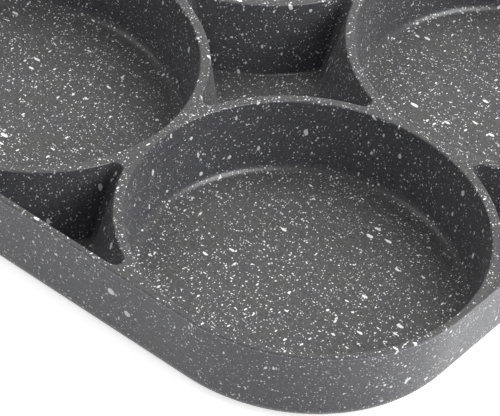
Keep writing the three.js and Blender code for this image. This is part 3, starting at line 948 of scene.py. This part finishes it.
def floor_material():
    """Pale floor that keeps a soft shadow. Seen by the camera or in a reflection it also glows, so
    that it reaches white without more light on the pan."""
    shader = Shader("white_floor", Base_Color=FLOOR_COLOUR, Roughness=0.9, Emission_Color=(1, 1, 1, 1))
    path = shader.node("ShaderNodeLightPath").outputs
    seen = shader.math("MAXIMUM", path["Is Camera Ray"], path["Is Glossy Ray"])
    seen = shader.math("MAXIMUM", seen, path["Is Transmission Ray"])
    shader.drive(Emission_Strength=shader.math("MULTIPLY", seen, FLOOR_GLOW))
    return shader.material


# Pieces

def settle(piece, material, slot, *nodes):
    """Gives a piece its material and body, and hides the solids that it stands in for. The slot is not
    used.
    """
    piece.data.materials.clear()
    piece.data.materials.append(material)
    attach(piece, "root")
    if nodes:
        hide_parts(*nodes)


turned_steel = turned_metal(
    "turned_steel",
    dark=(0.46, 0.46, 0.47, 1),
    pale=(0.62, 0.62, 0.63, 1),
    least_roughness=0.29,
    most_roughness=0.42,
)
turned_aluminium = turned_metal(
    "turned_aluminium",
    dark=(0.62, 0.62, 0.63, 1),
    pale=(0.76, 0.76, 0.76, 1),
    least_roughness=0.35,
    most_roughness=0.48,
)
settle(pan_body(), coat_material(), "fleck_coat", "pan_body")
settle(induction_disc(), turned_steel, "base_steel", "induction_disc")
settle(base_plugs(), turned_aluminium, "base_steel")
settle(flame_guard(), brushed_sleeve_material(), "guard_steel", "flame_guard")
settle(handle_grip(), wood_effect_material(), "grip", "handle_grip")

zinc_plate = plated_material()
for name in ("lug_insert", "handle_screw", "spring_washer", "flat_washer"):
    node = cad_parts[name]
    node.data.materials.clear()
    node.data.materials.append(zinc_plate)


# Camera, at the photograph's angle

CAMERA_AZIMUTH = 33.6113
CAMERA_ELEVATION = 41.7754
CAMERA_ROLL = math.radians(7.8588)
CAMERA_DISTANCE = 0.87280
CAMERA_TARGET = Vector((0.03291, -0.05241, 0.02454))
CAMERA_LENS = 260.36
CAMERA_SENSOR = 36


def direction(azimuth, elevation):
    """From the pan towards a view or a light, in degrees. Azimuth 0 is on the -Y side."""
    a, e = math.radians(azimuth), math.radians(elevation)
    return Vector((math.sin(a) * math.cos(e), -math.cos(a) * math.cos(e), math.sin(e)))


back = direction(CAMERA_AZIMUTH, CAMERA_ELEVATION)
right = Vector((0, 0, 1)).cross(back).normalized()
up = back.cross(right)
tilted_right = math.cos(CAMERA_ROLL) * right + math.sin(CAMERA_ROLL) * up
tilted_up = math.cos(CAMERA_ROLL) * up - math.sin(CAMERA_ROLL) * right
camera_data = bpy.data.cameras.new("camera")
camera_data.lens = CAMERA_LENS
camera_data.sensor_width = CAMERA_SENSOR
camera = bpy.data.objects.new("camera", camera_data)
camera.matrix_world = Matrix((tilted_right, tilted_up, back)).transposed().to_4x4()
camera.location = CAMERA_TARGET + back * CAMERA_DISTANCE
bpy.context.scene.collection.objects.link(camera)
bpy.context.scene.camera = camera


# Light and floor

LIGHT_DISTANCE = 1.6
WORLD_STRENGTH = 0.17
FLOOR_HALF = 12.0


def area_light(name, azimuth, elevation, size, power, mirrored=False):
    """A soft square light that faces the pan. A mirrored light shows in reflections only, and the
    others light surfaces without a reflection of their own."""
    away = direction(azimuth, elevation)
    data = bpy.data.lights.new(name, "AREA")
    data.shape = "SQUARE"
    data.size = size
    data.energy = power
    light = bpy.data.objects.new(name, data)
    light.location = away * LIGHT_DISTANCE
    light.rotation_euler = away.to_track_quat("Z", "Y").to_euler()
    light.visible_diffuse = not mirrored
    light.visible_glossy = mirrored
    bpy.context.scene.collection.objects.link(light)


area_light("key", azimuth=101, elevation=37, size=0.9, power=9.0)
area_light("side_fill", azimuth=120, elevation=25, size=0.8, power=6.6)
area_light("back_fill", azimuth=180, elevation=55, size=0.8, power=13.3)
area_light("low_fill", azimuth=210, elevation=25, size=0.8, power=20.7)
area_light("left_fill", azimuth=-60, elevation=55, size=0.8, power=5.9)
area_light("panel", azimuth=103, elevation=48, size=0.9, power=28.0, mirrored=True)
area_light("left_panel", azimuth=-50, elevation=45, size=0.9, power=3.5, mirrored=True)

world = bpy.data.worlds.new("studio")
world.use_nodes = True
bpy.context.scene.world = world
background = world.node_tree.nodes["Background"]
background.inputs["Color"].default_value = (1, 1, 1, 1)
background.inputs["Strength"].default_value = WORLD_STRENGTH

floor_mesh = bpy.data.meshes.new("floor")
floor_corners = [(x * FLOOR_HALF, y * FLOOR_HALF, 0) for x, y in ((-1, -1), (1, -1), (1, 1), (-1, 1))]
floor_mesh.from_pydata(floor_corners, [], [(0, 1, 2, 3)])
floor = bpy.data.objects.new("floor", floor_mesh)
floor_mesh.materials.append(floor_material())
bpy.context.scene.collection.objects.link(floor)

bpy.context.scene.view_settings.view_transform = "Standard"
